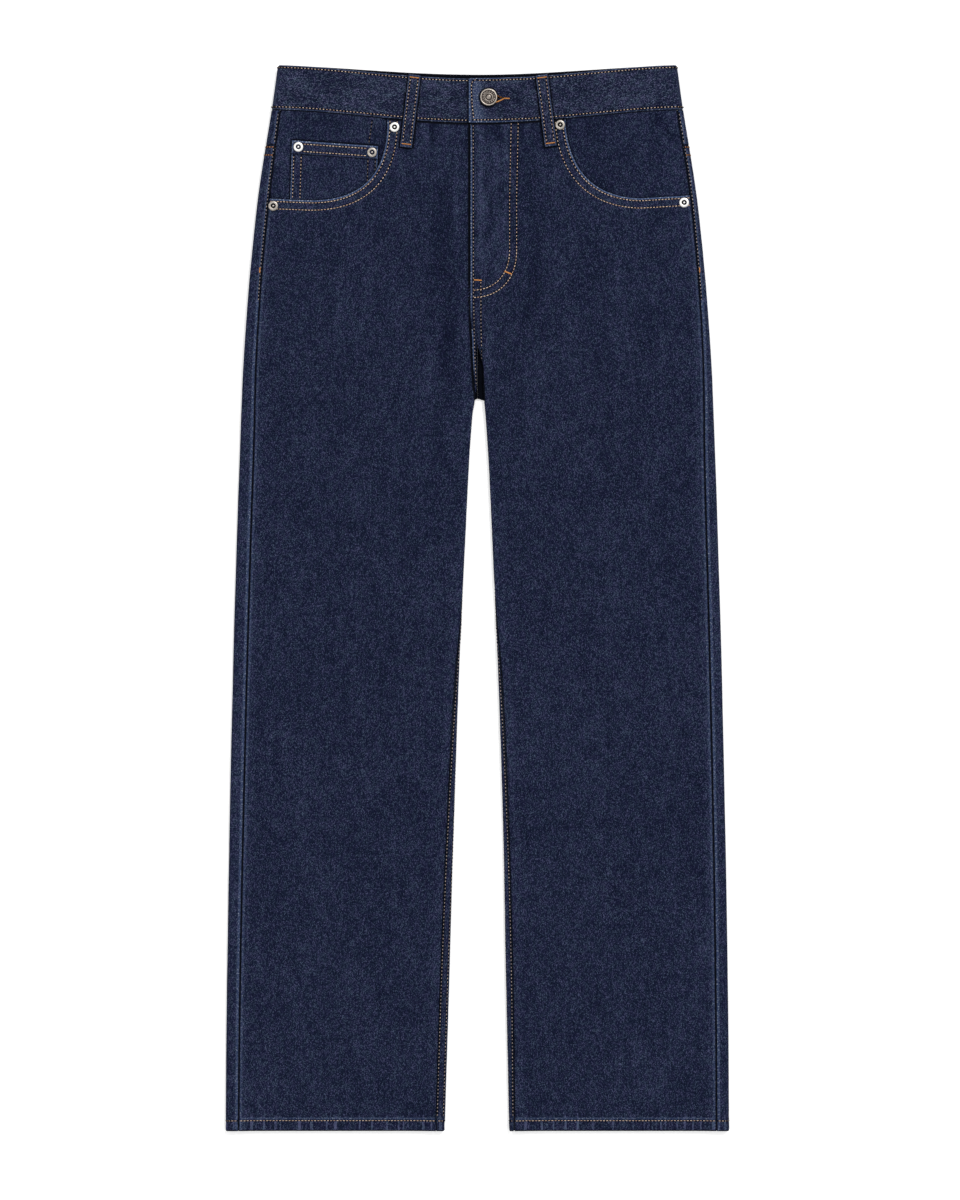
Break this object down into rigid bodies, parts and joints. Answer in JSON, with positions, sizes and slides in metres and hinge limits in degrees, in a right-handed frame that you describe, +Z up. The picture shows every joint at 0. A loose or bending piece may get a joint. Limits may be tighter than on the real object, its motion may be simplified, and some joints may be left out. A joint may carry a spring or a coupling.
{
  "type": "straight leg jeans",
  "caption": "Straight leg denim jeans laid flat, front up, with a buttoned waistband, lapped fly, curved front pockets, coin pocket and belt loops.",
  "frame": {"origin": "on the surface that the jeans lie on, under the middle of their bounding box", "axes": "+X towards the wearer's left, +Y up the garment from the hems to the waist, +Z up off the surface, out of the garment's front"},
  "size_m": [0.5039, 1.066, 0.0139],
  "materials": {
    "denim": "dark indigo right-hand twill denim, unwashed, matte",
    "button_metal": "aged silver-brown metal, worn bright on its raised rims",
    "rivet_metal": "nickel ring with a brown post in the middle"
  },
  "bodies": {
    "root": {"waistband": "denim", "front_panel_right": "denim", "front_panel_left": "denim", "back_panel_right": "denim", "back_panel_left": "denim", "yoke_right": "denim", "yoke_left": "denim", "pocket_facing_right": "denim", "pocket_facing_left": "denim", "coin_pocket": "denim", "back_pocket_right": "denim", "back_pocket_left": "denim", "belt_loop_front_right": "denim", "belt_loop_front_left": "denim", "belt_loop_back_right": "denim", "belt_loop_centre_back": "denim", "belt_loop_back_left": "denim", "button": "button_metal", "rivet_right_pocket_top": "rivet_metal", "rivet_right_pocket_side": "rivet_metal", "rivet_coin_pocket_outer": "rivet_metal", "rivet_coin_pocket_inner": "rivet_metal", "rivet_left_pocket_top": "rivet_metal", "rivet_left_pocket_side": "rivet_metal"}
  },
  "joints": []
}
